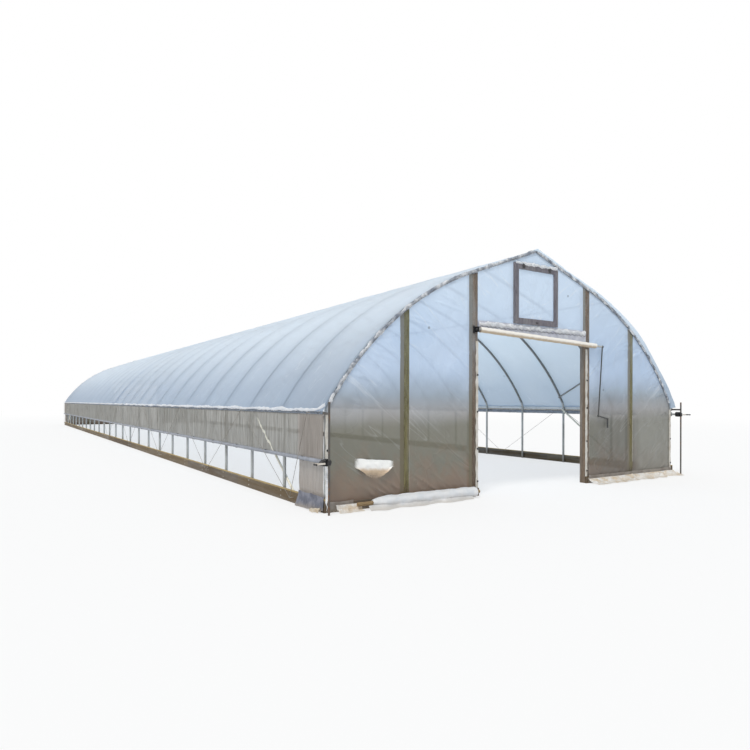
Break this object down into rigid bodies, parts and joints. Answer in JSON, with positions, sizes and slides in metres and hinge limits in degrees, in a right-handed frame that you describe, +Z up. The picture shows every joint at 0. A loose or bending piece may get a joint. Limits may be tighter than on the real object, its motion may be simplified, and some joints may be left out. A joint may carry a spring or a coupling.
{
  "type": "film greenhouse",
  "caption": "Long pointed-arch film greenhouse on tube bows, with timber end walls, a rolled-up film door, a gable vent and side curtains rolled by hand cranks.",
  "frame": {"origin": "middle of the footprint, on the ground", "axes": "+Y along the house from the doorway with the spare film roll to the far end, +X to the right seen from in front of that doorway, +Z up"},
  "size_m": [9.8476, 38.6004, 4.6397],
  "materials": {
    "galvanised_tube": "dull galvanised steel",
    "rail_white": "white painted box tube",
    "channel_metal": "dull extruded channel",
    "baseboard_wood": "weathered sawn board",
    "post_wood": "weathered sawn timber",
    "end_film": "clear greenhouse film",
    "roof_film": "cloudy greenhouse film",
    "curtain_film": "cloudy film with folds",
    "rolled_film": "film in many layers",
    "white_film": "bunched white film",
    "vent_grey": "grey weathered frame",
    "black_plastic": "moulded black",
    "crank_steel": "plain steel",
    "pole_metal": "dull dark pipe with rust",
    "rope": "twisted rope"
  },
  "bodies": {
    "root": {"side_posts": "galvanised_tube", "left_bows": "galvanised_tube", "right_bows": "galvanised_tube", "ridge_purlin": "galvanised_tube", "side_purlins": "galvanised_tube", "hip_rails": "rail_white", "hip_channels": "channel_metal", "side_baseboards": "baseboard_wood", "wall_braces": "galvanised_tube", "wind_braces": "galvanised_tube", "door_posts": "post_wood", "wall_posts": "post_wood", "door_headers": "post_wood", "end_baseboards": "baseboard_wood", "arch_channels": "channel_metal", "film_battens": "white_film", "end_film_left": "end_film", "end_film_right": "end_film", "gable_film": "end_film", "vent_frames": "vent_grey", "vent_panes": "end_film", "roof_film_left_top": "roof_film", "roof_film_left_shoulder": "roof_film", "roof_film_left_eave": "roof_film", "roof_film_right_top": "roof_film", "roof_film_right_shoulder": "roof_film", "roof_film_right_eave": "roof_film", "corner_panels": "curtain_film", "curtains": "curtain_film", "curtain_rolls": "rolled_film", "roll_tubes": "galvanised_tube", "gearboxes": "black_plastic", "crank_arms": "crank_steel", "crank_knobs": "black_plastic", "guide_poles": "pole_metal", "guide_brackets": "pole_metal", "door_films": "white_film", "door_rolls": "rolled_film", "door_tubes": "galvanised_tube", "door_crank_rods": "pole_metal", "film_tail_roll": "white_film", "film_tail_core": "post_wood", "film_apron": "white_film", "curtain_ropes": "rope", "rope_hooks": "crank_steel"}
  },
  "joints": []
}
